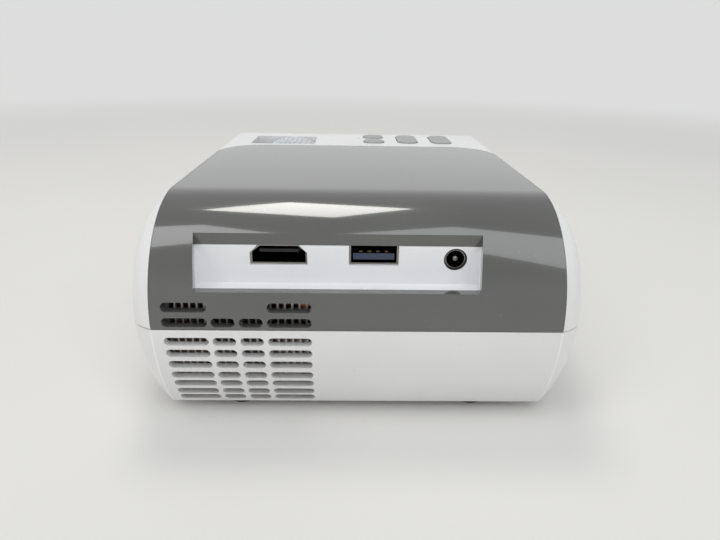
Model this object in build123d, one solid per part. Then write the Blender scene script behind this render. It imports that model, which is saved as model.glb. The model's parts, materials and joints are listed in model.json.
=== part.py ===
from build123d import *
from math import asin, cos, radians, sin, sqrt
import os

# Small video projector with a disc drive in its base. All sizes are in millimetres.
# Everything is drawn from the back face (y = 0), the underside of the casing (z = 0) and the
# middle plane (x = 0), and is moved to the origin, under the feet, when it is saved.

# ---- casing ----
body_depth = 150.0
body_height = 59.8
split_height = 29.1          # the two halves of the casing meet here
strap_half = 54.2            # half-width of the flat-sided middle strap
side_half = 67.6             # half-width at the widest point of the bulging sides
front_round = 15.0
belly_round = 50.0
heel_round = 3.0
wall = 2.3
foot_height = 2.5

# Sections through one bulging side, from the strap outwards: distance out from the strap, then
# how far the outline has drawn in at the back and front, at the top and at the bottom, then the
# radius of its lower curve and of the heel below that.
side_stations = [
    (0.0, 0.0, 0.0, 0.0, belly_round, heel_round),
    (2.4, 1.2, 2.2, 1.0, 44.0, 6.0),
    (4.8, 3.4, 5.0, 1.8, 38.0, 10.0),
    (7.4, 9.5, 9.0, 2.6, 34.0, 13.0),
    (10.3, 25.0, 14.5, 3.8, 30.0, 15.0),
    (12.4, 44.0, 19.5, 6.0, 26.0, 14.0),
    (13.05, 51.0, 22.8, 8.6, 23.0, 12.5),
    (13.33, 56.5, 25.6, 11.2, 20.0, 11.5),
    (13.4, 59.5, 27.0, 12.6, 18.5, 11.0),
]

# ---- grey panel and its window ----
panel_thickness = 2.35
panel_end = 104.0
panel_corner = 17.0
panel_gap = 0.15
ledge_half = 49.8
window_left = -42.5
window_right = 31.7
window_sill = 39.3
window_head = 10.7           # depth from the back at which the window's upper edge stands
window_flare = 1.2           # how much wider the window is there, on each side, than at its sill
port_plane = 10.6            # face that the sockets look out of
port_floor = 38.2
port_wall = 1.2

# ---- vents ----
vent_height = 2.5
vent_columns = [(-51.2, -39.4), (-38.4, -32.2), (-31.1, -24.9), (-23.8, -12.2)]
panel_vent_rows = {35.4: (0, 3), 31.3: (0, 1, 2, 3)}
belly_vent_rows = [25.6, 21.8, 17.9, 13.9, 10.4, 6.7, 3.5]

# ---- sockets ----
video_x, video_z = -21.5, 46.3
video_width, video_top_width, video_height, video_step = 15.4, 11.1, 5.7, 0.65
usb_x, usb_z = 4.1, 46.45
usb_width, usb_height = 13.4, 5.9
power_x, power_z = 26.15, 45.45
power_radius = 3.15
socket_back = 21.5
rim_depth = 0.9              # how far the metal of the sockets lies behind the port panel's face

# ---- lens ----
lens_x, lens_z = -28.5, 40.6
ring_radius = 19.8
ring_back, ring_front = 107.5, 126.5
ring_window = (-44.7, -17.8, 106.9, 127.1)      # opening in the roof over the focus ring
collar_depth = 5.0
collar_wall = 1.4
tube_radius = 16.5
barrel_radius = 15.0
barrel_back, barrel_front = 104.0, 142.0
glass_radius = 13.5
mouth_depth = 2.5
bezel_radius = 17.2
bezel_bore = 15.9

# ---- light box ----
box_left, box_right = lens_x - 18.5, lens_x + 18.5
box_back, box_front = 38.0, 100.0
box_low, box_high = lens_z - 10.8, lens_z + 10.8
box_wall = 1.6

# ---- keys ----
key_width = 8.6
key_proud = 0.5
key_gap = 0.3
small_key_x = 7.6
small_key_rows = {"back_key": 115.2, "enter_key": 127.8}
long_key_y = 121.5
long_key_columns = {"source_rocker": 22.4, "volume_rocker": 37.2}
long_key_length = 20.2
pivot_z = 56.4

# ---- inner frame, boards ----
frame_z = 17.4
frame_thickness = 1.0
board_z = 40.4
board_thickness = 1.2
key_board_z = 51.0
# Posts that join the halves, with screws on the left and pressed pins on the right: place, and
# the corner of the inner frame that its ear grows from.
screw_posts = [(-58.5, 24.0, -53.0, 24.0), (-58.5, 130.0, -44.0, 130.0)]
pin_posts = [(48.0, 9.4, 48.0, 14.0), (48.0, 144.0, 48.0, 124.0)]
posts = screw_posts + pin_posts
post_radius = 2.7
post_bore = 1.25
screw_seat = 6.0
pin_radius = 1.2
pin_top = 38.0
seam_gap = 0.3

# ---- disc drive ----
drive_y = 77.0
chassis_z = 6.9
sheet = 0.6
cover_z = 16.3
chassis_half = 64.0
tray_half = 62.0
tray_z, tray_top = 8.2, 13.9
well_radius = 60.75
well_z = 11.3
tray_floor = 1.0
rod_z_level = 9.2
rod_apart = 19.0             # sideways from the middle of the disc to each guide rod
screw_apart = 26.0           # and to the lead screw
sled_x = -24.0
eject_y = drive_y + 35.0

# ---- loudspeaker ----
speaker_y, speaker_z, speaker_face = 75.0, 38.5, 56.0
slit_count, slit_low, slit_pitch = 6, 31.2, 3.2

# ---- cooling ----
fin_left, fin_right = -53.0, -13.0
fin_pitch, fin_thickness = 1.95, 0.5
fin_back = 12.0
pipe_levels = [34.2, 25.0]
pipe_y, pipe_radius = 7.8, 2.0
plate_y = 27.5
fan_x, fan_size = -41.9, 25.0

big = 300.0


def block(x0, x1, y0, y1, z0, z1):
    """Box given by its two corners."""
    return Pos((x0 + x1) / 2, (y0 + y1) / 2, (z0 + z1) / 2) * Box(x1 - x0, y1 - y0, z1 - z0)


def rod_x(y, z, x0, x1, radius):
    """Round bar along x."""
    return Pos((x0 + x1) / 2, y, z) * Rot(0, 90, 0) * Cylinder(radius, x1 - x0)


def rod_y(x, z, y0, y1, radius):
    """Round bar along y."""
    return Pos(x, (y0 + y1) / 2, z) * Rot(90, 0, 0) * Cylinder(radius, y1 - y0)


def rod_z(x, y, z0, z1, radius):
    """Round bar along z."""
    return Pos(x, y, (z0 + z1) / 2) * Cylinder(radius, z1 - z0)


def sheet_plate(points, z0, z1):
    """Flat plate of the given outline between two heights."""
    return extrude(Plane.XY.offset(z0) * make_face(Polyline(*points, close=True)), amount=z1 - z0)


def slot_y(x0, x1, z, height, y0, y1):
    """Bar with round ends, as long as x0 to x1, running through from y0 to y1."""
    outline = Plane.XZ.offset(-y1) * Pos((x0 + x1) / 2, z) * SlotOverall(x1 - x0, height)
    return extrude(outline, amount=y1 - y0)


def save(name, shape):
    """Write one sub-part, moved so that the origin is on the ground under the middle."""
    placed = Pos(0, -body_depth / 2, foot_height) * Compound(shape.solids())
    export_step(placed, f"parts/{name}.step")


def side_outline(inset, back, top, bottom, belly, heel):
    """The casing's outline seen from the side, drawn in by an inset all round."""
    y_back = back + inset
    y_front = body_depth - back - inset
    z_top = body_height - top - inset
    z_low = bottom + inset
    back_r = z_top - split_height
    front_r = back_r * front_round / (body_height - split_height)
    belly_r = belly - inset
    heel_r = max(heel - inset, 0.6)
    swing = asin((split_height - z_low - heel_r) / (belly_r - heel_r))
    reach = (belly_r - heel_r) * cos(swing)
    quarter = radians(90)

    def on(centre, radius, angle):
        return (centre[0] + radius * cos(angle), centre[1] + radius * sin(angle))

    back_c = (y_back + back_r, split_height)
    front_c = (y_front - front_r, z_top - front_r)
    front_belly_c = (y_front - belly_r, split_height)
    front_heel_c = (front_belly_c[0] + reach, z_low + heel_r)
    back_belly_c = (y_back + belly_r, split_height)
    back_heel_c = (back_belly_c[0] - reach, z_low + heel_r)
    back_start = (y_back, split_height)
    front_start = (y_front, split_height)
    front_join = on(front_heel_c, heel_r, -swing)
    back_join = on(back_heel_c, heel_r, -2 * quarter + swing)
    heel_middle = (swing + quarter) / 2
    return make_face([
        ThreePointArc(back_start, on(back_c, back_r, 1.5 * quarter), (back_c[0], z_top)),
        Line((back_c[0], z_top), (front_c[0], z_top)),
        ThreePointArc((front_c[0], z_top), on(front_c, front_r, 0.5 * quarter), (y_front, front_c[1])),
        Line((y_front, front_c[1]), front_start),
        ThreePointArc(front_start, on(front_belly_c, belly_r, -swing / 2), front_join),
        ThreePointArc(front_join, on(front_heel_c, heel_r, -heel_middle), (front_heel_c[0], z_low)),
        Line((front_heel_c[0], z_low), (back_heel_c[0], z_low)),
        ThreePointArc((back_heel_c[0], z_low), on(back_heel_c, heel_r, heel_middle - 2 * quarter), back_join),
        ThreePointArc(back_join, on(back_belly_c, belly_r, swing / 2 - 2 * quarter), back_start),
    ])


def casing(inset):
    """The whole casing as a solid lump, drawn in by an inset all over."""
    half = strap_half - 0.5 * inset
    stretch = (side_half - inset - half) / (side_half - strap_half)
    faces = []
    for out, back, top, bottom, belly, heel in side_stations:
        plane = Plane.YZ.offset(half + stretch * out)
        faces.append(plane * side_outline(inset, back, top, bottom, belly, heel))
    middle = extrude(faces[0], amount=-2 * half)
    right = loft(faces)
    return middle + right + mirror(right, about=Plane.YZ)


def strap(inset, half):
    """The middle strap alone, drawn in by an inset, out to a half-width."""
    return extrude(Plane.YZ.offset(-half) * side_outline(inset, *side_stations[0][1:]), amount=2 * half)


def strap_skin(inset, thickness, half):
    """A layer of the strap's surface."""
    return strap(inset, half) - strap(inset + thickness, half)


outer = casing(0.0)
inner = casing(wall)
drive_core = casing(2.2)
snug_core = casing(2.6)
above_split = block(-big, big, -big, big, split_height, big)
below_split = block(-big, big, -big, big, -big, split_height)
foot_places = [(sx * 35.0, y) for sx in (-1, 1) for y in (17.5, 132.5)]
drive_screw_places = [(sx * 44.0, drive_y + sy * 46.0) for sx in (-1, 1) for sy in (-1, 1)]
slot_half = tray_half + 1.4
slot_low, slot_high = 5.8, 17.0
bezel_low, bezel_high = slot_low + 0.4, slot_high - 0.4
ring_room = block(-big, big, 90, 135, -big, body_height - wall)
board_posts = [(-4.0, 29.0), (34.0, 29.0), (-4.0, 86.0), (34.0, 86.0)]
bush_x, bush_y = 0.0, 75.0
bush_length = 4.4
bush_bore = 3.175


def panel_zone(half, end, corner, floor_z):
    """Ground plan of the grey panel, raised from a height upwards."""
    zone = block(-half, half, -20, end, floor_z, big)
    far_edges = zone.edges().filter_by(Axis.Z).group_by(Axis.Y)[-1]
    return fillet(far_edges, corner)


def window_block(margin, depth, z0, z1):
    """Block that fills the window of the grey panel, which widens inwards."""
    left, right = window_left + margin, window_right - margin
    points = [(left, -5), (right, -5), (right, 1.5), (right + window_flare, depth),
              (left - window_flare, depth), (left, 1.5)]
    return sheet_plate(points, z0, z1)


def vent_cutters(rows):
    """Cutters for rows of vent slots: each row's height and the columns that it has."""
    cutters = []
    for height, columns in rows.items():
        for column in columns:
            x0, x1 = vent_columns[column]
            cutters.append(slot_y(x0, x1, height, vent_height, -5, 12.5))
    return cutters


# ---------------------------------------------------------------- casing

def make_bottom_shell():
    shell = (outer - inner) & below_split
    for x, y, *ear in posts:
        shell += rod_z(x, y, 0, frame_z, post_radius) & outer
    for x, y, *ear in pin_posts:
        shell += rod_z(x, y, frame_z - 1, pin_top, pin_radius)
    for x, y in drive_screw_places:
        shell += rod_z(x, y, 1.5, chassis_z, 2.5)
    shell += rod_z(bush_x, bush_y, 1.5, bush_length, 7.5)
    shell -= vent_cutters({height: range(4) for height in belly_vent_rows})
    shell -= block(40, 90, drive_y - slot_half, drive_y + slot_half, slot_low, slot_high)
    for x, y, *ear in screw_posts:
        shell -= rod_z(x, y, -5, frame_z + 5, 1.3)
        shell -= rod_z(x, y, -5, screw_seat, 2.3)
    for x, y in foot_places:
        shell -= rod_z(x, y, -1, 0.6, 5.0)
    for x, y in drive_screw_places:
        shell -= rod_z(x, y, 2.6, 9, 0.95)
    shell -= rod_z(bush_x, bush_y, -1, 9, 5.0)
    shell -= rod_y(lens_x, lens_z, 134, body_depth + 5, bezel_radius + 0.05)
    return shell


def key_openings():
    """Holes in the roof for the keys and the status light."""
    low, high = 50.0, 70.0
    half = key_width / 2 + key_gap
    holes = []
    for y in small_key_rows.values():
        hole = block(small_key_x - half, small_key_x + half, y - half, y + half, low, high)
        holes.append(fillet(hole.edges().filter_by(Axis.Z), 3.3))
    long_half = long_key_length / 2 + 0.5
    for x in long_key_columns.values():
        hole = block(x - half, x + half, long_key_y - long_half, long_key_y + long_half, low, high)
        holes.append(fillet(hole.edges().filter_by(Axis.Z), 4.0))
    holes.append(rod_z(1.2, 124.0, low, high, 0.95))
    return holes


def key_board_bosses():
    return [(15.2, 111.5), (15.2, 131.5), (45.2, 121.5)]


def make_top_shell():
    roof = body_height - wall
    shell = (outer - inner) & above_split
    ledge = strap_skin(2.0, 2.0, strap_half + 0.3)
    ledge &= block(-big, big, -20, 110, split_height + 0.6, big)
    ledge -= block(-ledge_half, ledge_half, -20, 99, -1, big)
    shell += ledge
    # collar round the opening over the focus ring
    left, right, back, front = ring_window
    shell += block(left - collar_wall, right + collar_wall, back - collar_wall, front + collar_wall,
                   body_height - collar_depth, body_height - 0.5)
    # columns over the four corner posts
    for x, y, *ear in posts:
        column = rod_z(x, y, frame_z + frame_thickness, body_height, post_radius)
        shell += column & outer & above_split
        shell += column & snug_core & below_split
    # lugs for the long keys' pivots
    for x in long_key_columns.values():
        for side in (-1, 1):
            x0, x1 = sorted((x + side * (key_width / 2 + 0.4), x + side * (key_width / 2 + 1.7)))
            shell += block(x0, x1, long_key_y - 1.8, long_key_y + 1.8, pivot_z - 1.6, roof + 0.5)
    for x, y in key_board_bosses():
        shell += rod_z(x, y, key_board_z + board_thickness, roof + 0.5, 1.6)
    # fine groove along the seam between the halves
    shell -= (outer - casing(0.7)) & block(-big, big, -big, big, split_height - 1, split_height + seam_gap)
    # cut-outs
    shell -= strap_skin(-1.0, 1.0 + panel_thickness + 0.1, strap_half) & panel_zone(
        strap_half, panel_end + panel_gap, panel_corner, split_height - 2)
    shell -= fillet(block(left, right, back, front, 40, 70).edges().filter_by(Axis.Z), 1.2)
    shell -= rod_y(lens_x, lens_z, back, front, ring_radius + 0.5) & ring_room
    shell -= rod_y(lens_x, lens_z, 100, body_depth - 4, tube_radius + 0.4) & ring_room
    shell -= rod_y(lens_x, lens_z, 134, body_depth + 5, bezel_radius + 0.05)
    shell -= slot_y(28, 40, 38.0, 6.0, 140, 160)
    shell -= key_openings()
    for x in long_key_columns.values():
        shell -= rod_x(long_key_y, pivot_z, x - 8, x + 8, 0.85)
    for x, y in key_board_bosses():
        shell -= rod_z(x, y, 50, roof, 0.75)
    for x, y, *ear in posts:
        shell -= rod_z(x, y, 10, 40, post_bore)
    for row in range(slit_count):
        shell -= speaker_slit(slit_low + slit_pitch * row)
    return shell


def speaker_slit(z):
    """One slit of the loudspeaker grille in the right-hand side."""
    outline = Plane.YZ.offset(50) * Pos(speaker_y, z) * SlotOverall(26, 1.6)
    return extrude(outline, amount=30)


def make_top_panel():
    half = strap_half - panel_gap
    panel = strap_skin(0.0, panel_thickness, half)
    panel &= panel_zone(half, panel_end, panel_corner - panel_gap, split_height + 0.25)
    panel -= window_block(0.0, window_head, window_sill, 70)
    panel -= vent_cutters(panel_vent_rows)
    return panel


def video_outline(margin):
    """Outline of the video socket: wide below, drawn in towards its top."""
    wide = video_width / 2 - margin
    narrow = video_top_width / 2 - margin
    low = -video_height / 2 + margin
    high = video_height / 2 - margin
    points = [(-wide, low), (wide, low), (wide, video_step),
              (narrow, high), (-narrow, high), (-wide, video_step)]
    return make_face(Polyline(*points, close=True))


def video_bar(margin, y0, y1):
    return extrude(Plane.XZ.offset(-y1) * Pos(video_x, video_z) * video_outline(margin), amount=y1 - y0)


def usb_bar(margin, y0, y1):
    half = usb_width / 2 - margin
    rise = usb_height / 2 - margin
    return block(usb_x - half, usb_x + half, y0, y1, usb_z - rise, usb_z + rise)


def make_port_panel():
    tub = window_block(-port_wall, port_plane + port_wall, port_floor - port_wall, 60)
    tub -= window_block(0.1, port_plane, port_floor, 70)
    tub -= video_bar(0.0, 5, 15)
    tub -= usb_bar(0.0, 5, 15)
    tub -= rod_y(power_x, power_z, 5, 15, power_radius)
    return tub & strap(panel_thickness + 0.15, strap_half)


def make_feet():
    return Compound([rod_z(x, y, -foot_height, 0.6, 4.9) for x, y in foot_places])


def make_case_screws():
    screws = []
    for x, y, *ear in screw_posts:
        screw = rod_z(x, y, screw_seat - 2.0, screw_seat, 2.2)
        screw += rod_z(x, y, screw_seat - 1.0, screw_seat + 25.0, 1.2)
        screws.append(screw - block(x - 1.4, x + 1.4, y - 0.3, y + 0.3, screw_seat - 2.1, screw_seat - 1.2))
    return Compound(screws)


def make_tripod_bush():
    bush = rod_z(bush_x, bush_y, 0, bush_length, 4.95)
    return bush - rod_z(bush_x, bush_y, -1, bush_length + 1, bush_bore)


def make_inner_frame():
    top = frame_z + frame_thickness
    points = [(-55, 13), (55, 13), (55, 121), (39, 140), (-39, 140), (-55, 121)]
    frame = sheet_plate(points, frame_z, top)
    for x, y, ear_x, ear_y in posts:
        frame += rod_z(x, y, frame_z, top, post_radius)
        spread = post_radius - 0.2
        x0, x1 = sorted((x, ear_x))
        y0, y1 = sorted((y, ear_y))
        if x0 == x1:
            x0, x1 = x0 - spread, x1 + spread
        else:
            y0, y1 = y0 - spread, y1 + spread
        frame += block(x0, x1, y0, y1, frame_z, top)
    frame &= casing(3.0)
    for x, y in board_posts:
        frame += rod_z(x, y, frame_z, board_z, 2.6)
        frame -= rod_z(x, y, board_z - 8, board_z + 1, 0.95)
    for x, y, *ear in posts:
        frame -= rod_z(x, y, 10, 25, 1.4)
    return frame


# ---------------------------------------------------------------- boards and sockets

def make_main_board():
    top = board_z + board_thickness
    points = [(-27.7, 12.3), (38, 12.3), (38, 90), (-8, 90), (-8, 23.5), (-27.7, 23.5)]
    board = sheet_plate(points, board_z, top)
    board += block(4, 20, 42, 58, top, top + 1.4)
    board += block(22, 32, 34, 46, top, top + 1.2)
    board += block(2, 12, 66, 80, top, top + 3.5)
    for y in (52, 60, 68):
        board += rod_z(30, y, top, top + 7, 3.0)
    for x, y in board_posts:
        board -= rod_z(x, y, board_z - 1, top + 1, 1.1)
    return board


def make_board_screws():
    top = board_z + board_thickness
    screws = []
    for x, y in board_posts:
        screws.append(rod_z(x, y, top, top + 1.2, 2.0) + rod_z(x, y, board_z - 6, top, 0.9))
    return Compound(screws)


def make_video_socket():
    top = board_z + board_thickness
    shell = video_bar(0.1, port_plane + rim_depth, socket_back) - video_bar(0.5, 0, socket_back - 0.8)
    for side in (-1, 1):
        x0, x1 = sorted((video_x + side * 6.6, video_x + side * 7.4))
        for y in (14.0, 19.0):
            shell += block(x0, x1, y, y + 1.4, top, video_z - video_height / 2 + 0.3)
    return shell


def make_video_tongue():
    half = 5.3
    tongue = block(video_x - half, video_x + half, port_plane + 1.6, socket_back - 0.8,
                   video_z + 0.35, video_z + 1.25)
    return tongue + block(video_x - half, video_x + half, socket_back - 3.0, socket_back - 0.8,
                          video_z - 1.6, video_z + 1.7)


def make_usb_socket():
    top = board_z + board_thickness
    shell = usb_bar(0.1, port_plane + rim_depth, socket_back) - usb_bar(0.5, 0, socket_back - 0.6)
    for side in (-1, 1):
        x0, x1 = sorted((usb_x + side * 5.8, usb_x + side * 6.5))
        for y in (14.0, 19.0):
            shell += block(x0, x1, y, y + 1.4, top, usb_z - usb_height / 2 + 0.3)
    return shell


def make_usb_tongue():
    tongue = block(usb_x - 5.6, usb_x + 5.6, port_plane + 1.4, socket_back - 0.6, usb_z - 1.7, usb_z + 0.1)
    tongue += block(usb_x - 5.8, usb_x + 5.8, socket_back - 3.0, socket_back - 0.6, usb_z - 2.0, usb_z + 2.0)
    for column in range(4):
        x = usb_x - 3.5 + column * 7.0 / 3
        tongue += block(x - 0.5, x + 0.5, port_plane + 2.4, socket_back - 3.0, usb_z + 0.1, usb_z + 0.35)
    return tongue


def make_power_jack():
    top = board_z + board_thickness
    back = socket_back + 1.0
    jack = block(power_x - 4.6, power_x + 4.6, port_plane + port_wall + 0.1, back, top, 49.6)
    jack += rod_y(power_x, power_z, port_plane + 0.2, port_plane + port_wall + 0.3, power_radius - 0.05)
    return jack - rod_y(power_x, power_z, 0, back - 1.5, 2.75)


def make_power_pin():
    back = socket_back - 0.6
    liner = rod_y(power_x, power_z, port_plane + 0.6, back, 2.7)
    liner -= rod_y(power_x, power_z, 0, back - 0.4, 2.45)
    pin = rod_y(power_x, power_z, port_plane + 1.3, back, 0.95)
    return liner + pin + Pos(power_x, port_plane + 1.3, power_z) * Sphere(0.95)


# ---------------------------------------------------------------- keys

def rounded_bar(x, y, half_x, half_y, z0, z1, corner):
    bar = block(x - half_x, x + half_x, y - half_y, y + half_y, z0, z1)
    return fillet(bar.edges().filter_by(Axis.Z), corner)


def make_small_key(y):
    roof = body_height - wall
    half = key_width / 2
    key = rounded_bar(small_key_x, y, half, half, roof - 1.2, body_height + key_proud, 3.0)
    key = fillet(key.edges().group_by(Axis.Z)[-1], 0.4)
    flange = rounded_bar(small_key_x, y, half + 0.9, half + 0.9, roof - 1.2, roof - 0.3, 3.0)
    return key + flange + rod_z(small_key_x, y, key_board_z + 2.2, roof - 1.0, 1.6)


def make_long_key(x):
    half = key_width / 2
    key = rounded_bar(x, long_key_y, half, long_key_length / 2, pivot_z - 1.2, body_height + key_proud, 3.7)
    key = fillet(key.edges().group_by(Axis.Z)[-1], 0.4)
    key += rod_x(long_key_y, pivot_z, x - half - 1.6, x + half + 1.6, 0.8)
    for side in (-1, 1):
        y = long_key_y + side * 7.5
        key += rod_z(x, y, key_board_z + 2.5, pivot_z, 1.4)
    return key


def make_key_board():
    top = key_board_z + board_thickness
    board = block(-3, 48, 108, 135, key_board_z, top)
    spots = [(small_key_x, y) for y in small_key_rows.values()]
    spots += [(x, long_key_y + side * 7.5) for x in long_key_columns.values() for side in (-1, 1)]
    for x, y in spots:
        board += rod_z(x, y, top, top + 0.4, 1.5)
    for x, y in key_board_bosses():
        board -= rod_z(x, y, 50, 53, 0.9)
    return board


def make_key_board_screws():
    screws = []
    for x, y in key_board_bosses():
        screws.append(rod_z(x, y, key_board_z - 1.0, key_board_z, 1.5) + rod_z(x, y, key_board_z, 56.5, 0.7))
    return Compound(screws)


def make_status_light():
    return rod_z(1.2, 124.0, key_board_z + board_thickness + 0.3, body_height, 0.9)


# ---------------------------------------------------------------- cooling

def make_fin_stack():
    outline = side_outline(4.3, *side_stations[0][1:])
    window = Pos(fin_back / 2, 20.3) * Rectangle(fin_back, 32.4)
    fin_face = outline & window
    count = int((fin_right - fin_left) / fin_pitch) + 1
    stack = block(fin_left, fin_right, fin_back - 0.5, fin_back, 8.0, 10.0)
    for z in (19.0, 29.0):
        stack += block(fin_left, fin_right, fin_back - 0.5, fin_back, z, z + 2.0)
    for index in range(count):
        x = fin_left + index * fin_pitch
        stack += extrude(Plane.YZ.offset(x) * fin_face, amount=fin_thickness)
    for z in pipe_levels:
        stack -= rod_x(pipe_y, z, fin_left - 1, fin_right + 2, pipe_radius + 0.03)
    return stack


def make_heat_pipes():
    pipes = []
    for z in pipe_levels:
        route = FilletPolyline((fin_left + 0.5, pipe_y, z), (-8.0, pipe_y, z), (-8.0, plate_y, z),
                               (-46.0, plate_y, z), radius=6.0)
        section = Plane(route @ 0, z_dir=route % 0) * Circle(pipe_radius)
        pipes.append(sweep(section, path=route))
    return Compound([pipe.solid() for pipe in pipes])


def make_fan_frame():
    low = frame_z + frame_thickness
    half = fan_size / 2
    frame = block(fan_x - half, fan_x + half, 13.2, 21.2, low, low + fan_size)
    z = low + half
    frame -= rod_y(fan_x, z, 10, 19.6, half - 0.8)
    frame -= rod_y(fan_x, z, 10, 25, half - 0.8) - rod_y(fan_x, z, 10, 25, 5.2) - block(
        fan_x - half, fan_x + half, 19.6, 25, z - 0.8, z + 0.8) - block(
        fan_x - 0.8, fan_x + 0.8, 19.6, 25, low, low + fan_size)
    for side_x in (-1, 1):
        for side_z in (-1, 1):
            frame -= rod_y(fan_x + side_x * 10.6, z + side_z * 10.6, 10, 25, 1.1)
    return frame - rod_y(fan_x, z, 19.0, 20.7, 1.05)


def make_fan_rotor():
    z = frame_z + frame_thickness + fan_size / 2
    rotor = rod_y(fan_x, z, 13.9, 19.2, 5.0)
    for blade in range(7):
        vane = block(-0.4, 0.4, -2.0, 2.0, 4.6, 11.1)
        rotor += Pos(fan_x, 16.6, z) * Rot(0, blade * 360 / 7, 0) * Rot(0, 0, 35) * vane
    return rotor + rod_y(fan_x, z, 19.0, 20.6, 1.0)


def make_fan_screws():
    z = frame_z + frame_thickness + fan_size / 2
    screws = []
    for side_x, side_z in ((-1, 1), (1, -1)):
        x, height = fan_x + side_x * 10.6, z + side_z * 10.6
        screws.append(rod_y(x, height, 13.6, 23.0, 1.0) + rod_y(x, height, 12.4, 13.2, 1.9)
                      + rod_y(x, height, 13.2, 13.7, 1.0))
    return Compound(screws)


# ---------------------------------------------------------------- light engine

def make_led_plate():
    left, right = lens_x - 15, lens_x + 15
    plate = block(left, right, 24.5, 30.5, 22, 53)
    for z in pipe_levels:
        plate -= rod_x(plate_y, z, -50, -10, pipe_radius + 0.03)
    for x in (left + 2, right - 2):
        plate += block(x - 2, x + 2, 24.5, 30.5, frame_z + frame_thickness, 22)
    return plate


def make_led_module():
    module = block(lens_x - 10, lens_x + 10, 30.5, 31.7, lens_z - 10, lens_z + 10)
    module += block(lens_x - 4, lens_x + 4, 31.7, 33.0, lens_z - 4, lens_z + 4)
    return module + Pos(lens_x, 33.0, lens_z) * (Sphere(2.6) & Pos(0, 2, 0) * Box(10, 4, 10))


def turned_y(points_and_arcs, y):
    """Solid turned about the optical axis from half a section, drawn as radius and depth."""
    return Pos(lens_x, y, lens_z) * revolve(make_face(points_and_arcs), axis=Axis.Y)


def convex_lens(radius, edge, bulge, y):
    """Round lens on the optical axis, bulging on both sides, with its middle at y."""
    half = edge / 2
    crown = half + bulge
    dome = (radius ** 2 + bulge ** 2) / (2 * bulge)
    middle = sqrt(dome ** 2 - (radius / 2) ** 2) - dome + crown
    return turned_y([
        Line((0, -crown), (0, crown)),
        ThreePointArc((0, crown), (radius / 2, middle), (radius, half)),
        Line((radius, half), (radius, -half)),
        ThreePointArc((radius, -half), (radius / 2, -middle), (0, -crown)),
    ], y)


def make_light_box():
    box = block(box_left, box_right, box_back, box_front, box_low, box_high)
    box -= block(box_left + box_wall, box_right - box_wall, box_back + box_wall, box_front + 5,
                 box_low + box_wall, box_high - box_wall)
    box -= rod_y(lens_x, lens_z, box_back - 5, box_back + 5, 8.05)
    for x in (box_left + 2, box_right - 2):
        for y in (box_back + 3, box_front - 3):
            box += block(x - 2, x + 2, y - 3, y + 3, frame_z + frame_thickness, box_low + 0.5)
    return box


def cross_plate(y0, y1, clearance):
    """Flat plate that fills the light box from wall to wall."""
    inset = box_wall + clearance
    return block(box_left + inset, box_right - inset, y0, y1, box_low + inset, box_high - inset)


def make_picture_panel():
    frame = cross_plate(60, 63, 0.05)
    opening = block(lens_x - 15.2, lens_x + 15.2, 55, 61.4, lens_z - 7.6, lens_z + 7.6)
    view = block(lens_x - 14.4, lens_x + 14.4, 61, 70, lens_z - 7.0, lens_z + 7.0)
    return frame - opening - view


def make_picture_glass():
    return block(lens_x - 15.1, lens_x + 15.1, 60.2, 61.4, lens_z - 7.5, lens_z + 7.5)


def make_lens_holder():
    plate = block(box_left, box_right, box_front, box_front + 1.6, lens_z - 18, lens_z + 14.5)
    tube = rod_y(lens_x, lens_z, box_front, ring_front, tube_radius)
    return plate + tube - rod_y(lens_x, lens_z, box_front - 5, ring_front + 5, barrel_radius + 0.05)


def make_lens_barrel():
    barrel = rod_y(lens_x, lens_z, barrel_back, barrel_front, barrel_radius)
    barrel -= rod_y(lens_x, lens_z, barrel_back - 5, barrel_front - mouth_depth, glass_radius + 0.05)
    mouth = Pos(lens_x, barrel_front - mouth_depth / 2, lens_z) * Rot(-90, 0, 0) * Cone(
        glass_radius - 0.6, glass_radius + 0.6, mouth_depth + 0.02)
    return barrel - mouth


def make_focus_ring():
    ring = rod_y(lens_x, lens_z, ring_back, ring_front, ring_radius - 0.5)
    for index in range(60):
        angle = radians(index * 6)
        x = lens_x + (ring_radius - 0.55) * cos(angle)
        z = lens_z + (ring_radius - 0.55) * sin(angle)
        ring += rod_y(x, z, ring_back + 2.0, ring_front - 4.0, 0.55)
    return ring - rod_y(lens_x, lens_z, ring_back - 5, ring_front + 5, tube_radius + 0.06)


def make_lens_bezel():
    bezel = rod_y(lens_x, lens_z, 136, body_depth + 2, bezel_radius) & outer
    flange = rod_y(lens_x, lens_z, 134.4, 136, bezel_radius + 1.6) & snug_core
    bezel += flange
    bezel -= rod_y(lens_x, lens_z, 130, body_depth + 5, bezel_bore)
    flare = Pos(lens_x, body_depth - 2.0, lens_z) * Rot(-90, 0, 0) * Cone(bezel_bore, bezel_bore + 0.7, 4.2)
    return bezel - flare


def make_receiver_window():
    window = slot_y(28.05, 39.95, 38.0, 5.9, body_depth - wall - 0.8, body_depth)
    lip = slot_y(26.8, 41.2, 38.0, 8.4, body_depth - wall - 1.2, body_depth - wall)
    return window + lip


# ---------------------------------------------------------------- disc drive

def drive_points(left, shoulder, half, right):
    """Outline of the drive seen from above, with its two left corners cut back."""
    return [(left, drive_y - 24), (shoulder, drive_y - half), (right, drive_y - half),
            (right, drive_y + half), (shoulder, drive_y + half), (left, drive_y + 24)]


def make_drive_chassis():
    outline = drive_points(-62.3, -52.0, chassis_half, 52.0)
    hollow = drive_points(-61.7, -51.5, chassis_half - sheet, 80.0)
    chassis = sheet_plate(outline, chassis_z, cover_z)
    chassis -= sheet_plate(hollow, chassis_z + sheet, cover_z + 1)
    chassis += block(40, 60.5, drive_y - 40, drive_y + 40, chassis_z, chassis_z + sheet)
    for x, y in drive_screw_places:
        chassis -= rod_z(x, y, 0, 9, 1.0)
        chassis -= Pos(x, y, chassis_z + sheet / 2) * Cone(1.0, 1.62, sheet + 0.02)
    return chassis


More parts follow.
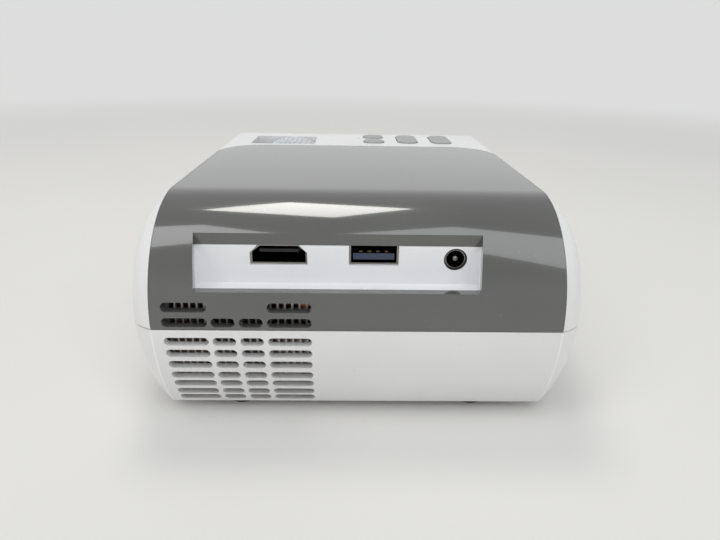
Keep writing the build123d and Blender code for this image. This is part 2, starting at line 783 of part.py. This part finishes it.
def make_drive_cover():
    cover = sheet_plate(drive_points(-62.3, -52.0, chassis_half, 52.0), cover_z, cover_z + sheet)
    cover += block(40, 60.5, drive_y - 40, drive_y + 40, cover_z, cover_z + sheet)
    cover -= rod_z(0, drive_y, cover_z - 1, cover_z + 2, 17)
    return cover


def make_drive_screws():
    screws = []
    for x, y in drive_screw_places:
        screw = rod_z(x, y, 3.2, chassis_z + 0.1, 0.88)
        screws.append(screw + Pos(x, y, chassis_z + sheet / 2 - 0.02) * Cone(0.95, 1.55, sheet - 0.04))
    return Compound(screws)


def make_disc_tray():
    tray = sheet_plate(drive_points(-61.3, -51.4, tray_half, 75.0), tray_z, tray_top)
    tray &= drive_core
    tray -= rod_z(0, drive_y, well_z, tray_top + 1, well_radius)
    # the tray is hollow below its floor, inside a rim
    tray -= rod_z(0, drive_y, tray_z - 1, well_z - tray_floor, well_radius - 0.6) & block(
        -60.0, 62, drive_y - 59.5, drive_y + 59.5, 0, 20)
    for end in (-61.0, -9.0):
        for side in (-1, 1):
            y = drive_y + side * rod_apart
            tray += block(end, end + 1.6, y - 2, y + 2, tray_z, well_z - 0.2)
    for end in (-58.0, -14.0):
        y = drive_y + screw_apart
        tray += block(end, end + 1.6, y - 2, y + 2, tray_z, well_z - 0.2)
    tray -= rod_z(0, drive_y, tray_z - 1, tray_top, 17.5)
    tray -= block(-57.0, -8.0, drive_y - 16.5, drive_y + 16.5, tray_z - 1, tray_top)
    for side in (-1, 1):
        tray -= rod_x(drive_y + side * rod_apart, rod_z_level, -70, 0, 1.02)
    tray -= rod_x(drive_y + screw_apart, rod_z_level, -70, -5, 0.83)
    tray -= block(58.5, 80, eject_y - 6.5, eject_y + 6.5, tray_z + 0.8, tray_top + 1)
    return tray


def make_tray_bezel():
    bezel = outer - drive_core
    bezel &= block(40, 90, drive_y - slot_half + 0.4, drive_y + slot_half - 0.4, bezel_low, bezel_high)
    bezel -= block(40, 90, eject_y - 4.4, eject_y + 4.4, 9.6, 12.8)
    return bezel


def make_eject_button():
    button = (outer - casing(3.1)) & block(40, 90, eject_y - 4.1, eject_y + 4.1, 9.9, 12.5)
    flange = (casing(2.5) - casing(3.1)) & block(40, 90, eject_y - 5.2, eject_y + 5.2, 9.2, 13.2)
    return button + flange


def make_tray_rails():
    rails = []
    for side in (-1, 1):
        y0, y1 = sorted((drive_y + side * (tray_half + 0.3), drive_y + side * (tray_half + 1.0)))
        rails.append(block(-50, 50, y0, y1, 9.4, 13.0))
    return Compound(rails)


def make_spindle_motor():
    motor = rod_z(0, drive_y, 8.0, 11.0, 11.0)
    motor += block(-8, 22, drive_y - 16.8, drive_y + 16.8, 9.6, well_z - tray_floor)
    return motor - rod_z(0, drive_y, 8.4, 12, 1.06)


def make_spindle_hub():
    hub = rod_z(0, drive_y, 11.4, 12.3, 15.0)
    hub += rod_z(0, drive_y, 12.2, 13.4, 7.3)
    hub += rod_z(0, drive_y, 13.4, 13.9, 6.6)
    hub += rod_z(0, drive_y, 8.6, 11.5, 1.0)
    for clip in range(3):
        hub += Pos(0, drive_y, 0) * Rot(0, 0, 120 * clip) * block(6.0, 7.6, -1.2, 1.2, 12.7, 13.3)
    return hub


def make_guide_rods():
    rods = [rod_x(drive_y + side * rod_apart, rod_z_level, -60.9, -7.5, 1.0) for side in (-1, 1)]
    return Compound(rods)


def make_laser_sled():
    sled = block(sled_x - 6.5, sled_x + 6.5, drive_y - 21.3, drive_y + 21.3, 7.9, 10.0)
    sled += block(sled_x - 2.5, sled_x + 2.5, drive_y + 19, drive_y + 24.6, 8.2, 10.0)
    for side in (-1, 1):
        sled -= rod_x(drive_y + side * rod_apart, rod_z_level, -90, 20, 1.06)
    sled -= rod_z(sled_x, drive_y, 9.0, 11, 3.05)
    return sled


def make_laser_lens():
    lens = rod_z(sled_x, drive_y, 9.0, 10.4, 3.0)
    dome = Pos(sled_x, drive_y, 10.4 - 2.7) * Sphere(3.6)
    return lens + (dome & block(-big, big, 0, big, 10.3, big) & rod_z(sled_x, drive_y, 10, 12, 2.3))


def make_lead_screw():
    screw = rod_x(drive_y + screw_apart, rod_z_level, -57.6, -9.5, 0.8)
    for turn in range(14):
        x = -53.0 + turn * 2.6
        screw += rod_x(drive_y + screw_apart, rod_z_level, x, x + 1.0, 1.0)
    return screw


def make_sled_motor():
    motor = block(-11.8, -3.0, drive_y + 22.6, drive_y + 29.4, 8.0, well_z - tray_floor)
    motor = fillet(motor.edges().filter_by(Axis.X), 0.9)
    return motor - rod_x(drive_y + screw_apart, rod_z_level, -13, -9, 0.85)


# ---------------------------------------------------------------- loudspeaker

def turned_speaker(points):
    """Solid turned about the loudspeaker's axis from points given as depth behind its face and radius."""
    half_section = make_face(Polyline(*[(-depth, radius) for depth, radius in points], close=True))
    return Pos(speaker_face, speaker_y, speaker_z) * revolve(half_section, axis=Axis.X)


def make_speaker_frame():
    low = frame_z + frame_thickness
    frame = turned_speaker([(0, 12.9), (0, 14.5), (1.2, 14.5), (1.2, 13.6), (9.0, 9.4), (9.0, 8.5),
                            (14.5, 8.5), (14.5, 0), (9.0, 0), (9.0, 8.0), (8.0, 8.8), (1.2, 12.9)])
    foot_top = speaker_z - 13.9
    frame += block(speaker_face - 1.2, speaker_face, speaker_y - 9, speaker_y + 9, low, foot_top)
    return frame + block(speaker_face - 8, speaker_face, speaker_y - 9, speaker_y + 9, low, low + 1.2)


def make_speaker_cone():
    return turned_speaker([(0.3, 11.2), (0.3, 12.7), (0.9, 12.7), (0.9, 11.6), (6.9, 5.4), (6.9, 0),
                           (6.4, 0), (3.9, 3.0), (5.6, 5.6)])


# ---------------------------------------------------------------- save everything

def main():
    os.makedirs("parts", exist_ok=True)
    save("bottom_shell", make_bottom_shell())
    save("top_shell", make_top_shell())
    save("top_panel", make_top_panel())
    save("port_panel", make_port_panel())
    save("rubber_feet", make_feet())
    save("case_screws", make_case_screws())
    save("tripod_bush", make_tripod_bush())
    save("inner_frame", make_inner_frame())
    save("main_board", make_main_board())
    save("board_screws", make_board_screws())
    save("video_socket", make_video_socket())
    save("video_tongue", make_video_tongue())
    save("usb_socket", make_usb_socket())
    save("usb_tongue", make_usb_tongue())
    save("power_jack", make_power_jack())
    save("power_pin", make_power_pin())
    for name, y in small_key_rows.items():
        save(name, make_small_key(y))
    for name, x in long_key_columns.items():
        save(name, make_long_key(x))
    save("key_board", make_key_board())
    save("key_board_screws", make_key_board_screws())
    save("status_light", make_status_light())
    save("fin_stack", make_fin_stack())
    save("heat_pipes", make_heat_pipes())
    save("fan_frame", make_fan_frame())
    save("fan_rotor", make_fan_rotor())
    save("fan_screws", make_fan_screws())
    save("led_plate", make_led_plate())
    save("led_module", make_led_module())
    save("condenser_lens", convex_lens(8.0, 2.5, 2.0, box_back + 1.2))
    save("light_box", make_light_box())
    save("rear_fresnel", cross_plate(52.0, 53.5, 0.05))
    save("picture_panel", make_picture_panel())
    save("picture_glass", make_picture_glass())
    save("front_fresnel", cross_plate(70.0, 71.5, 0.05))
    save("lens_holder", make_lens_holder())
    save("lens_barrel", make_lens_barrel())
    save("rear_lens", convex_lens(glass_radius, 2.5, 2.0, barrel_back + 4.0))
    save("front_lens", convex_lens(glass_radius, 1.6, 1.8, barrel_front - mouth_depth - 1.0))
    save("focus_ring", make_focus_ring())
    save("lens_bezel", make_lens_bezel())
    save("receiver_window", make_receiver_window())
    save("drive_chassis", make_drive_chassis())
    save("drive_cover", make_drive_cover())
    save("drive_screws", make_drive_screws())
    save("disc_tray", make_disc_tray())
    save("tray_bezel", make_tray_bezel())
    save("eject_button", make_eject_button())
    save("tray_rails", make_tray_rails())
    save("spindle_motor", make_spindle_motor())
    save("spindle_hub", make_spindle_hub())
    save("guide_rods", make_guide_rods())
    save("laser_sled", make_laser_sled())
    save("laser_lens", make_laser_lens())
    save("lead_screw", make_lead_screw())
    save("sled_motor", make_sled_motor())
    save("speaker_frame", make_speaker_frame())
    save("speaker_cone", make_speaker_cone())


main()
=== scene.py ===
"""Dresses the projector's solids for the picture, and sets the stage, lamps and camera."""
import json
import math

import bpy
from mathutils import Matrix, Quaternion, Vector

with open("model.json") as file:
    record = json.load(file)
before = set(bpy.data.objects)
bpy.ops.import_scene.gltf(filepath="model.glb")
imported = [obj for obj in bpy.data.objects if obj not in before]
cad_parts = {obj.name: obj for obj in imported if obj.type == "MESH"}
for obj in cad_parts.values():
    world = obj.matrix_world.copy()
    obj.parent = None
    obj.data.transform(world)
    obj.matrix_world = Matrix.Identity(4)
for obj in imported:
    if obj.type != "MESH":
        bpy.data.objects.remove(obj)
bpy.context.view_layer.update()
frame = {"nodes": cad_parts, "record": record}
nodes = frame["nodes"]


# ---------------------------------------------------------------- materials

DRIFT_START, DRIFT_END = 0.3, 0.7    # the part of a noise's range over which a colour drifts
PLASTIC_IOR, GLASS_IOR = 1.49, 1.52
METAL_GRAIN = 700.0                  # grain of bare metal, in waves to the metre
METAL_GRAIN_DEPTH = 0.00001


def linear(red, green, blue):
    """Screen colour, 0 to 255, as linear light."""
    out = []
    for value in (red, green, blue):
        v = value / 255
        out.append(v / 12.92 if v <= 0.04045 else ((v + 0.055) / 1.055) ** 2.4)
    return (*out, 1.0)


class Shader:
    """A node material under construction, on the object's own coordinates in metres."""

    def __init__(self, name):
        self.material = bpy.data.materials.new(name)
        self.material.use_nodes = True
        self.tree = self.material.node_tree
        self.tree.nodes.clear()
        self.out = self.add("ShaderNodeOutputMaterial")
        self.surface = self.add("ShaderNodeBsdfPrincipled")
        self.place = self.add("ShaderNodeTexCoord").outputs["Object"]
        self.join(self.surface.outputs["BSDF"], self.out.inputs["Surface"])

    def add(self, kind, **settings):
        node = self.tree.nodes.new(kind)
        for key, value in settings.items():
            setattr(node, key, value)
        return node

    def join(self, source, target):
        self.tree.links.new(source, target)

    def set(self, **values):
        """Constants on the surface shader's own sockets."""
        for key, value in values.items():
            self.surface.inputs[key.replace("_", " ")].default_value = value

    def stretched(self, scale):
        """The object's own coordinates, scaled along each axis."""
        mapping = self.add("ShaderNodeMapping")
        mapping.inputs["Scale"].default_value = scale
        self.join(self.place, mapping.inputs["Vector"])
        return mapping.outputs["Vector"]

    def noise(self, scale, detail=3.0, roughness=0.5, vector=None):
        """Cloudy value from 0 to 1, with a scale in waves to the metre."""
        noise = self.add("ShaderNodeTexNoise")
        noise.inputs["Scale"].default_value = scale
        noise.inputs["Detail"].default_value = detail
        noise.inputs["Roughness"].default_value = roughness
        self.join(vector or self.place, noise.inputs["Vector"])
        return noise.outputs["Fac"]

    def ramp(self, value, low, high):
        """Drift from one colour to another over the middle of the value's range."""
        ramp = self.add("ShaderNodeValToRGB")
        first, second = ramp.color_ramp.elements
        first.position, first.color = DRIFT_START, low
        second.position, second.color = DRIFT_END, high
        self.join(value, ramp.inputs["Fac"])
        return ramp.outputs["Color"]

    def span(self, value, low, high):
        """The value's 0 to 1 stretched to another range."""
        stretch = self.add("ShaderNodeMapRange")
        stretch.inputs["To Min"].default_value = low
        stretch.inputs["To Max"].default_value = high
        self.join(value, stretch.inputs["Value"])
        return stretch.outputs["Result"]

    def axis(self, name):
        """One of the object's own coordinates, in metres."""
        split = self.add("ShaderNodeSeparateXYZ")
        self.join(self.place, split.inputs["Vector"])
        return split.outputs[name]

    def math(self, operation, first, second=0.0):
        """Sum, product and the like of a socket and a number or another socket."""
        node = self.add("ShaderNodeMath", operation=operation)
        self.join(first, node.inputs[0])
        if isinstance(second, (int, float)):
            node.inputs[1].default_value = second
        else:
            self.join(second, node.inputs[1])
        return node.outputs["Value"]

    def step(self, value, start, end):
        """0 below start, 1 above end, even in between; the other way round where start is above end."""
        step = self.add("ShaderNodeMapRange", interpolation_type="SMOOTHSTEP")
        step.inputs["From Min"].default_value = min(start, end)
        step.inputs["From Max"].default_value = max(start, end)
        step.inputs["To Min"].default_value = 0.0 if start < end else 1.0
        step.inputs["To Max"].default_value = 1.0 if start < end else 0.0
        self.join(value, step.inputs["Value"])
        return step.outputs["Result"]

    def blend(self, share, first, second):
        """Mix of two colours, each a socket or a plain colour, by a share."""
        mix = self.add("ShaderNodeMix", data_type="RGBA")
        share_in, first_in, second_in = mix.inputs[0], mix.inputs[6], mix.inputs[7]
        for socket, value in ((share_in, share), (first_in, first), (second_in, second)):
            if isinstance(value, (int, float, tuple)):
                socket.default_value = value
            else:
                self.join(value, socket)
        return mix.outputs[2]

    def bump(self, value, strength, distance):
        """Relief that is seen only in the light on the surface."""
        bump = self.add("ShaderNodeBump")
        bump.inputs["Strength"].default_value = strength
        bump.inputs["Distance"].default_value = distance
        self.join(value, bump.inputs["Height"])
        self.join(bump.outputs["Normal"], self.surface.inputs["Normal"])

    def colour(self, socket):
        self.join(socket, self.surface.inputs["Base Color"])

    def roughness(self, socket):
        self.join(socket, self.surface.inputs["Roughness"])


def moulded(name, low, high, rough, grain=900.0, depth=0.00002, coat=0.0, coat_rough=0.05, shade=None):
    """Moulded plastic: a slight drift of colour and roughness, and a fine grain of a depth in metres.

    A shade function may take the shader and its colour, and give back another colour."""
    s = Shader(name)
    drift = s.noise(28.0, 4.0, 0.55)
    colour = s.ramp(drift, low, high)
    s.colour(shade(s, colour) if shade else colour)
    s.roughness(s.span(s.noise(160.0, 5.0, 0.6), *rough))
    s.bump(s.noise(grain, 2.0, 0.5), 0.25, depth)
    s.set(IOR=PLASTIC_IOR, Coat_Weight=coat, Coat_Roughness=coat_rough)
    return s.material


def metal(name, low, high, rough, grain=(1.0, 1.0, 1.0), shade=None):
    """Plain metal with a grain that may run one way."""
    s = Shader(name)
    grained = s.stretched(grain)
    colour = s.ramp(s.noise(60.0, 4.0, 0.6, grained), low, high)
    s.colour(shade(s, colour) if shade else colour)
    s.roughness(s.span(s.noise(METAL_GRAIN, 4.0, 0.6, grained), *rough))
    s.bump(s.noise(METAL_GRAIN, 3.0, 0.6, grained), 0.2, METAL_GRAIN_DEPTH)
    s.set(Metallic=1.0)
    return s.material


def clear(name, tint):
    """Glass or clear plastic, with a faint smear of dust on it."""
    s = Shader(name)
    s.colour(s.ramp(s.noise(40.0), tint, linear(250, 252, 252)))
    s.roughness(s.span(s.noise(220.0, 4.0, 0.6), 0.0, 0.05))
    s.set(IOR=GLASS_IOR, Transmission_Weight=1.0)
    return s.material


def board(name):
    """Green lacquered circuit board with pale tracks."""
    s = Shader(name)
    tracks = s.add("ShaderNodeTexBrick")
    tracks.inputs["Scale"].default_value = 420.0
    tracks.inputs["Mortar Size"].default_value = 0.03
    tracks.inputs["Color1"].default_value = linear(22, 84, 50)
    tracks.inputs["Color2"].default_value = linear(16, 70, 42)
    tracks.inputs["Mortar"].default_value = linear(60, 128, 88)
    s.join(s.place, tracks.inputs["Vector"])
    s.colour(tracks.outputs["Color"])
    s.roughness(s.span(s.noise(300.0), 0.25, 0.4))
    s.bump(tracks.outputs["Fac"], 0.3, 0.00003)
    return s.material


# ---- shades that follow the object's own coordinates, in metres

STRAP_EDGE = 0.0542          # half the width of the strap between the bulging sides
PORT_FACE = -0.0644          # depth of the face that the sockets look out of
USB_FRONT = -0.0630          # front end of the USB tongue
USB_TOP = 0.04915            # height just above the USB tongue's upper face
USB_CONTACT = -0.0615        # the tongue is black behind this, contacts and all
SPLIT = 0.0316               # height of the seam between the halves
LEDGE_BACK, LEDGE_TOP = -0.0640, 0.0420      # the ledge behind the panel's vents, which gets painted shade, lies within these
PIPE_END = -0.0150           # the copper pipes are dark to the left of this
RING_SIDE = -0.0375          # the focus ring has painted shade to the left of this
SOFT = 0.0003                # width over which one shade passes into the next


def shell_shade(s, colour):
    """White shell: a painted highlight, a thin bright line where the strap meets the bulging sides,
    dust in the pores, and painted shade on the ledge behind the vents."""
    # painted highlight: a lighter line along the crease where the strap meets the sides, below the seam
    from_edge = s.math("SUBTRACT", s.math("ABSOLUTE", s.axis("X")), STRAP_EDGE)
    painted_highlight_line = s.step(s.math("ABSOLUTE", from_edge), 0.00028, 0.0001)
    below = s.step(s.axis("Z"), SPLIT, SPLIT - 0.0006)
    lit = s.blend(s.math("MULTIPLY", painted_highlight_line, below), colour, linear(246, 246, 246))
    specks = s.step(s.noise(420.0, 2.0, 0.5), 0.70, 0.76)
    dusty = s.blend(s.math("MULTIPLY", specks, 0.07), lit, linear(168, 164, 158))
    # painted shade: the ledge under the panel behind the vents is darkened to grey
    painted_ledge_shade = s.step(s.math("ABSOLUTE", s.axis("X")), STRAP_EDGE, STRAP_EDGE - SOFT)
    for share in (s.step(s.axis("Z"), SPLIT + SOFT, SPLIT + 2 * SOFT),
                  s.step(s.axis("Z"), LEDGE_TOP, LEDGE_TOP - 0.0005),
                  s.step(s.axis("Y"), LEDGE_BACK, LEDGE_BACK - 0.0005)):
        painted_ledge_shade = s.math("MULTIPLY", painted_ledge_shade, share)
    return s.blend(painted_ledge_shade, dusty, linear(62, 62, 64))


def gloss_shade(s, colour):
    """Grey gloss: fine dust lying on it."""
    specks = s.step(s.noise(700.0, 2.0, 0.5), 0.70, 0.78)
    return s.blend(s.math("MULTIPLY", specks, 0.14), colour, linear(150, 151, 148))


def socket_shade(s, colour):
    """Socket metal: bright at the rim, with painted shade that darkens it further in."""
    # painted shade: the metal turns near black deeper inside the socket
    depth = s.step(s.axis("Y"), PORT_FACE + 0.0010, PORT_FACE + 0.0016)
    return s.blend(depth, colour, linear(14, 14, 16))


def tongue_shade(s, colour):
    """USB tongue: blue at its front edge, gold contacts on its upper face near the front, black further
    in.
    """
    behind = s.step(s.axis("Y"), USB_FRONT + 0.0001, USB_FRONT + 0.0003)
    front = s.blend(behind, colour, linear(14, 15, 19))
    gold = s.blend(s.step(s.axis("Z"), USB_TOP - 0.0001, USB_TOP), front, linear(176, 142, 84))
    return s.blend(s.step(s.axis("Y"), USB_CONTACT, USB_CONTACT + 0.0001), gold, linear(12, 12, 14))


def pipe_shade(s, colour):
    """Copper, dark where it runs behind the fins."""
    return s.blend(s.step(s.axis("X"), PIPE_END, PIPE_END - 0.001), colour, linear(44, 40, 40))


def ring_shade(s, colour):
    """Focus ring: painted shade, darker at its left edge."""
    # painted shade: the ring's left side is darker
    painted_ring_shade = s.step(s.axis("X"), RING_SIDE + SOFT, RING_SIDE - SOFT)
    return s.blend(painted_ring_shade, colour, linear(182, 184, 189))


looks = {
    "white_shell": moulded("white_shell", linear(228, 228, 228), linear(233, 233, 233), rough=(0.26, 0.34),
                           grain=1400.0, shade=shell_shade),
    "grey_gloss": moulded("grey_gloss", linear(86, 87, 85), linear(91, 92, 90), rough=(0.10, 0.15),
                          grain=1100.0, depth=0.000006, coat=1.0, coat_rough=0.03, shade=gloss_shade),
    "port_white": moulded("port_white", linear(238, 239, 241), linear(243, 244, 246), rough=(0.42, 0.52)),
    "key_grey": moulded("key_grey", linear(154, 156, 156), linear(162, 164, 164), rough=(0.3, 0.4),
                        grain=1400.0),
    "inner_white": moulded("inner_white", linear(192, 192, 188), linear(202, 202, 198), rough=(0.5, 0.6)),
    "dark_plastic": moulded("dark_plastic", linear(20, 20, 22), linear(30, 30, 32), rough=(0.4, 0.55),
                            grain=800.0),
    "ring_grey": moulded("ring_grey", linear(200, 205, 208), linear(206, 211, 214), rough=(0.35, 0.45),
                         shade=ring_shade),
    "foot_rubber": moulded("foot_rubber", linear(36, 37, 40), linear(48, 49, 52), rough=(0.7, 0.85),
                           grain=500.0, depth=0.00006),
    "steel": metal("steel", linear(158, 160, 162), linear(190, 191, 193), rough=(0.28, 0.42),
                   grain=(1.0, 12.0, 12.0)),
    "socket_metal": metal("socket_metal", linear(132, 128, 124), linear(158, 153, 148), rough=(0.2, 0.3),
                          shade=socket_shade),
    "brass": metal("brass", linear(190, 160, 96), linear(214, 184, 118), rough=(0.2, 0.32)),
    "copper": metal("copper", linear(186, 112, 74), linear(216, 140, 96), rough=(0.24, 0.36),
                    shade=pipe_shade),
    "aluminium": metal("aluminium", linear(196, 190, 186), linear(220, 214, 210), rough=(0.45, 0.6),
                       grain=(8.0, 8.0, 1.0)),
    "board_green": board("board_green"),
    "clear_glass": clear("clear_glass", linear(236, 246, 248)),
    "tinted_window": moulded("tinted_window", linear(34, 10, 16), linear(44, 14, 20), rough=(0.08, 0.14),
                             grain=600.0, depth=0.000004, coat=0.6),
    "socket_blue": moulded("socket_blue", linear(52, 62, 84), linear(64, 74, 98), rough=(0.4, 0.5),
                           shade=tongue_shade),
    "light_lens": moulded("light_lens", linear(216, 218, 214), linear(226, 228, 224), rough=(0.15, 0.25)),
    "cone_paper": moulded("cone_paper", linear(34, 34, 34), linear(50, 50, 49), rough=(0.8, 0.9),
                          grain=260.0, depth=0.0001),
}

slot_of = {part["node"]: part["material_slot"] for part in frame["record"]["subparts"]}


SHARP_ANGLE = math.radians(28)       # edges that turn by more than this stay sharp
WELD = 0.000001                      # points closer than this are one


def smoothing_group():
    """Modifier that rounds the shading of curved faces and keeps sharp edges sharp."""
    group = bpy.data.node_groups.new("smooth_shading", "GeometryNodeTree")
    group.interface.new_socket("Geometry", in_out="INPUT", socket_type="NodeSocketGeometry")
    group.interface.new_socket("Geometry", in_out="OUTPUT", socket_type="NodeSocketGeometry")
    start = group.nodes.new("NodeGroupInput")
    end = group.nodes.new("NodeGroupOutput")
    merge = group.nodes.new("GeometryNodeMergeByDistance")
    merge.inputs["Distance"].default_value = WELD
    faces = group.nodes.new("GeometryNodeSetShadeSmooth")
    edges = group.nodes.new("GeometryNodeSetShadeSmooth")
    edges.domain = "EDGE"
    edges.inputs["Shade Smooth"].default_value = False
    angle = group.nodes.new("GeometryNodeInputMeshEdgeAngle")
    sharp = group.nodes.new("FunctionNodeCompare")
    sharp.data_type = "FLOAT"
    sharp.operation = "GREATER_THAN"
    sharp.inputs[1].default_value = SHARP_ANGLE
    link = group.links.new
    link(start.outputs[0], merge.inputs["Geometry"])
    link(merge.outputs["Geometry"], faces.inputs["Geometry"])
    link(faces.outputs["Geometry"], edges.inputs["Geometry"])
    link(angle.outputs["Unsigned Angle"], sharp.inputs[0])
    link(sharp.outputs["Result"], edges.inputs["Selection"])
    link(edges.outputs["Geometry"], end.inputs[0])
    return group


smooth = smoothing_group()
for name, node in nodes.items():
    node.data.materials.clear()
    node.data.materials.append(looks[slot_of[name]])
    node.modifiers.new("smooth_shading", "NODES").node_group = smooth


# ---------------------------------------------------------------- stage

PALE = linear(220, 221, 220)         # what is seen where the floor has faded out
FLOOR_REACH = 6.0
FADE_START, FADE_END = 0.35, 1.1     # distance from the object over which the floor fades
LOW_HEIGHT, HIGH_HEIGHT = 0.24, 0.72 # sines of the heights between which the room grows darker
LOW_LIGHT, HIGH_LIGHT = 0.70, 0.44   # and how bright it is below and above them
LAMP_AIM = Vector((0.0, 0.0, 0.03))


def floor_paper():
    """Pale paper, lit as it is near the object, that fades into the plain background far from it."""
    s = Shader("floor_paper")
    s.colour(s.ramp(s.noise(6.0), linear(226, 225, 222), linear(228, 227, 224)))
    s.set(Roughness=0.6, Specular_IOR_Level=0.2)
    far = s.add("ShaderNodeEmission")
    far.inputs["Color"].default_value = PALE
    away = s.add("ShaderNodeVectorMath", operation="LENGTH")
    s.join(s.place, away.inputs[0])
    mix = s.add("ShaderNodeMixShader")
    s.join(s.step(away.outputs["Value"], FADE_START, FADE_END), mix.inputs["Fac"])
    s.join(s.surface.outputs["BSDF"], mix.inputs[1])
    s.join(far.outputs["Emission"], mix.inputs[2])
    s.join(mix.outputs["Shader"], s.out.inputs["Surface"])
    return s.material


floor_mesh = bpy.data.meshes.new("floor")
corners = [(x * FLOOR_REACH, y * FLOOR_REACH, 0) for x, y in ((-1, -1), (1, -1), (1, 1), (-1, 1))]
floor_mesh.from_pydata(corners, [], [(0, 1, 2, 3)])
floor = bpy.data.objects.new("floor", floor_mesh)
bpy.context.scene.collection.objects.link(floor)
floor.data.materials.append(floor_paper())


def lamp(name, place, size, power, turn=0.0, colour=(1.0, 1.0, 1.0)):
    """Rectangular soft lamp that faces the object, turned about its own axis by some degrees."""
    light = bpy.data.lights.new(name, "AREA")
    light.shape = "RECTANGLE"
    light.size, light.size_y = size
    light.energy = power
    light.color = colour
    obj = bpy.data.objects.new(name, light)
    obj.location = place
    obj.rotation_mode = "QUATERNION"
    aim = (LAMP_AIM - Vector(place)).to_track_quat("-Z", "Y")
    obj.rotation_quaternion = aim @ Quaternion((0.0, 0.0, 1.0), math.radians(turn))
    bpy.context.scene.collection.objects.link(obj)


lamp("overhead_box", (-0.09, 0.37, 1.0), size=(0.33, 0.33), power=2.3, turn=45.0,
     colour=(1.0, 0.985, 0.95))
lamp("right_box", (0.43, -0.52, 1.0), size=(0.36, 1.15), power=2.7, colour=(0.95, 0.98, 1.0))
lamp("left_box", (-0.55, -0.42, 1.0), size=(0.36, 0.9), power=2.6)
lamp("front_box", (-0.02, -0.95, 0.95), size=(0.40, 0.40), power=1.3)


def studio_world():
    """Soft room, brighter near the horizon than overhead, that the camera sees as plain and pale."""
    world = bpy.data.worlds.new("studio")
    world.use_nodes = True
    tree = world.node_tree
    tree.nodes.clear()
    out = tree.nodes.new("ShaderNodeOutputWorld")
    lit = tree.nodes.new("ShaderNodeBackground")
    seen = tree.nodes.new("ShaderNodeBackground")
    mix = tree.nodes.new("ShaderNodeMixShader")
    path = tree.nodes.new("ShaderNodeLightPath")
    direction = tree.nodes.new("ShaderNodeTexCoord")
    height = tree.nodes.new("ShaderNodeSeparateXYZ")
    room = tree.nodes.new("ShaderNodeMapRange")
    room.interpolation_type = "SMOOTHSTEP"
    room.inputs["From Min"].default_value = LOW_HEIGHT
    room.inputs["From Max"].default_value = HIGH_HEIGHT
    room.inputs["To Min"].default_value = LOW_LIGHT
    room.inputs["To Max"].default_value = HIGH_LIGHT
    lit.inputs["Color"].default_value = (0.99, 0.995, 1.0, 1.0)
    seen.inputs["Color"].default_value = PALE
    seen.inputs["Strength"].default_value = 1.0
    link = tree.links.new
    link(direction.outputs["Generated"], height.inputs["Vector"])
    link(height.outputs["Z"], room.inputs["Value"])
    link(room.outputs["Result"], lit.inputs["Strength"])
    link(path.outputs["Is Camera Ray"], mix.inputs["Fac"])
    link(lit.outputs["Background"], mix.inputs[1])
    link(seen.outputs["Background"], mix.inputs[2])
    link(mix.outputs["Shader"], out.inputs["Surface"])
    return world


bpy.context.scene.world = studio_world()


# ---------------------------------------------------------------- camera

SENSOR_MM, LENS_MM = 36.0, 27.05
CAMERA_PLACE = (-0.00225, -0.20003, 0.10081)
CAMERA_DOWN = math.radians(22.47)    # how far the camera looks down
CAMERA_RIGHT = math.radians(1.12)    # how far it is turned to the right
CAMERA_ROLL = math.radians(0.93)     # how far it is tipped about its own axis

camera_data = bpy.data.cameras.new("camera")
camera_data.sensor_width = SENSOR_MM
camera_data.lens = LENS_MM
camera_data.clip_start = 0.01
camera = bpy.data.objects.new("camera", camera_data)
camera.location = CAMERA_PLACE
turned = Matrix.Rotation(-CAMERA_RIGHT, 4, "Z")
tipped = Matrix.Rotation(math.radians(90) - CAMERA_DOWN, 4, "X")
rolled = Matrix.Rotation(CAMERA_ROLL, 4, "Z")
camera.rotation_euler = (turned @ tipped @ rolled).to_euler()
bpy.context.scene.collection.objects.link(camera)
bpy.context.scene.camera = camera
bpy.context.scene.view_settings.view_transform = "Standard"
